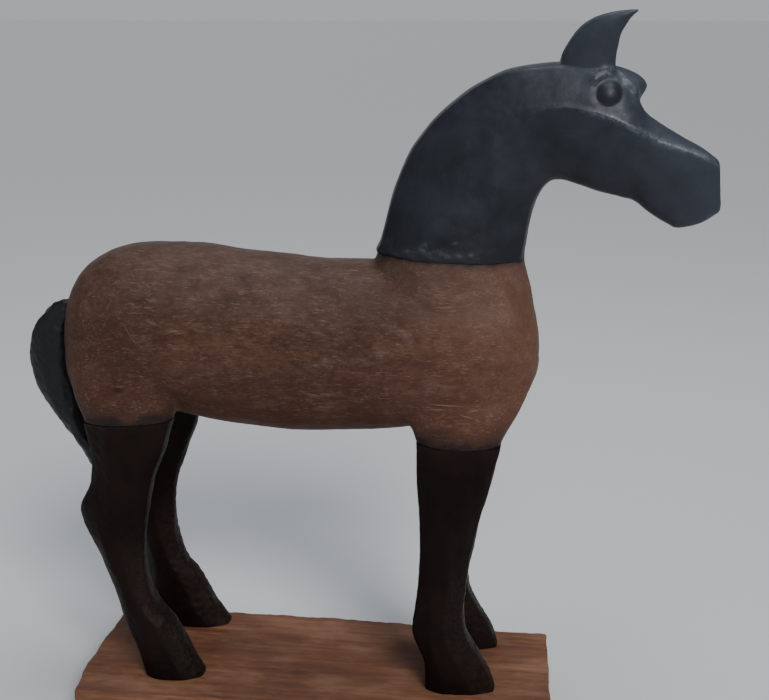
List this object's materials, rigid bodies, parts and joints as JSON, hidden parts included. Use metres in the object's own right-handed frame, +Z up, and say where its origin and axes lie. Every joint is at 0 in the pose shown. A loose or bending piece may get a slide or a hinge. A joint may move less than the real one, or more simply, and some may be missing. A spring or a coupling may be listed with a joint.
{
  "type": "carved wooden horse statuette",
  "caption": "Carved wooden horse standing square on a plain board: smooth barrel trunk, arched neck, long face, domed eyes, upright ears and a hanging tail.",
  "frame": {"origin": "centre of the plinth's underside", "axes": "+X towards the horse's head, +Y to the horse's left, +Z up"},
  "size_m": [0.4271, 0.1115, 0.4435],
  "materials": {
    "plinth_wood": "rough sawn pinkish brown board, worn edges",
    "brown_wood": "satin brown wood with pale open grain and dusty wear",
    "black_head": "blue-black thick coating, satin with glossy speckle on the ridges",
    "black_leg": "brown-black coating, satin, thin at the joints"
  },
  "bodies": {
    "root": {"plinth": "plinth_wood", "trunk": "brown_wood", "head_and_neck": "black_head", "front_right_leg": "black_leg", "front_left_leg": "black_leg", "rear_right_leg": "black_leg", "rear_left_leg": "black_leg", "tail": "black_leg"}
  },
  "joints": []
}
